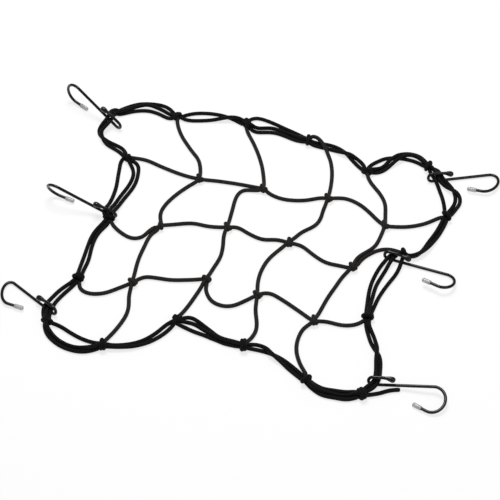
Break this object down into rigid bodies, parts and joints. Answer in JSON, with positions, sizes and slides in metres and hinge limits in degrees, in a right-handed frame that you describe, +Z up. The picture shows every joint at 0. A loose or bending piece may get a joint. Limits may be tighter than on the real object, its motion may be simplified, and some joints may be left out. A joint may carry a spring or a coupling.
{
  "type": "cargo net",
  "caption": "Knotted elastic cord net with a doubled border and coated wire hooks round its edge, lying flat.",
  "frame": {"origin": "middle of the whole thing's box, hooks included, on the floor that it lies on", "axes": "+X along the net's length, to the picture's right; +Y across it, away from the viewer; +Z up"},
  "size_m": [0.4966, 0.3644, 0.0304],
  "materials": {
    "mesh_cords": "braided sheath, black",
    "border_cords": "braided sheath, black",
    "hook_a": "black coating on steel wire, glossy",
    "hook_b": "black coating on steel wire, glossy",
    "hook_c": "black coating on steel wire, glossy",
    "hook_d": "black coating on steel wire, glossy",
    "hook_e": "black coating on steel wire, glossy",
    "hook_f": "black coating on steel wire, glossy",
    "tip_a": "translucent grey, satin",
    "tip_b": "translucent grey, satin",
    "tip_c": "translucent grey, satin",
    "tip_d": "translucent grey, satin",
    "tip_e": "translucent grey, satin",
    "tip_f": "translucent grey, satin",
    "cap_a": "black dip, satin",
    "cap_b": "black dip, satin",
    "cap_c": "black dip, satin",
    "cap_d": "black dip, satin",
    "cap_e": "black dip, satin",
    "cap_f": "black dip, satin"
  },
  "bodies": {
    "root": {"mesh_cords": "mesh_cords", "border_cords": "border_cords", "hook_a": "hook_a", "hook_b": "hook_b", "hook_c": "hook_c", "hook_d": "hook_d", "hook_e": "hook_e", "hook_f": "hook_f", "tip_a": "tip_a", "tip_b": "tip_b", "tip_c": "tip_c", "tip_d": "tip_d", "tip_e": "tip_e", "tip_f": "tip_f", "cap_a": "cap_a", "cap_b": "cap_b", "cap_c": "cap_c", "cap_d": "cap_d", "cap_e": "cap_e", "cap_f": "cap_f"}
  },
  "joints": []
}
